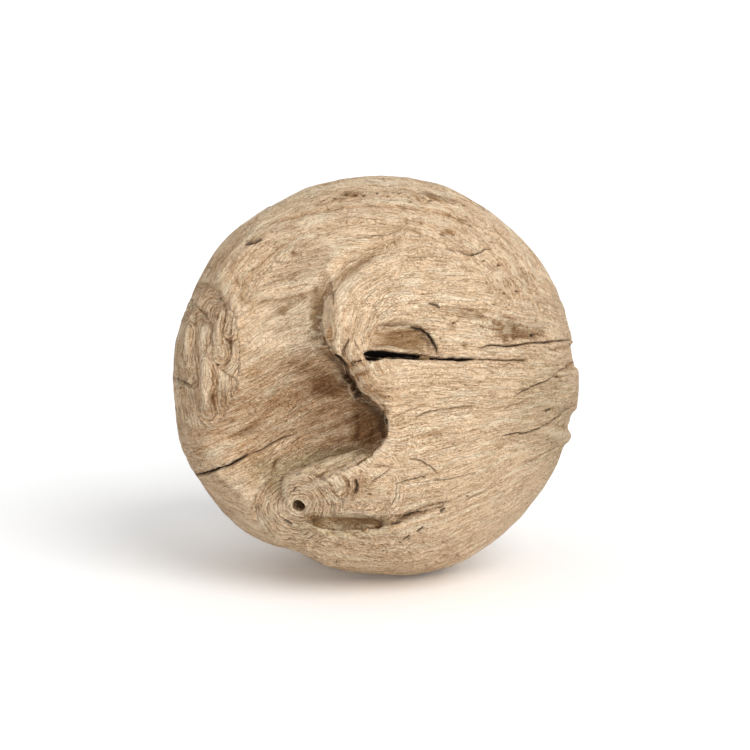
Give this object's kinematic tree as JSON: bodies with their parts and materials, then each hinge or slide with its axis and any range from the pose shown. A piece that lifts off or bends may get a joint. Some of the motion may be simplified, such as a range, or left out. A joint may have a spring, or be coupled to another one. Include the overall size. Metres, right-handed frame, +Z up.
{
  "type": "wooden ball",
  "caption": "Rough solid ball carved from one piece of weathered root wood, with a deep hollow, splits, a knot hole and a worn foot.",
  "frame": {"origin": "on the floor under the middle of the ball", "axes": "+Z up, +X to the right and the side with the deep hollow facing -Y"},
  "size_m": [0.434, 0.43, 0.427],
  "materials": {
    "weathered_wood": "raw, matt and weathered"
  },
  "bodies": {
    "root": {"wooden_ball": "weathered_wood"}
  },
  "joints": []
}
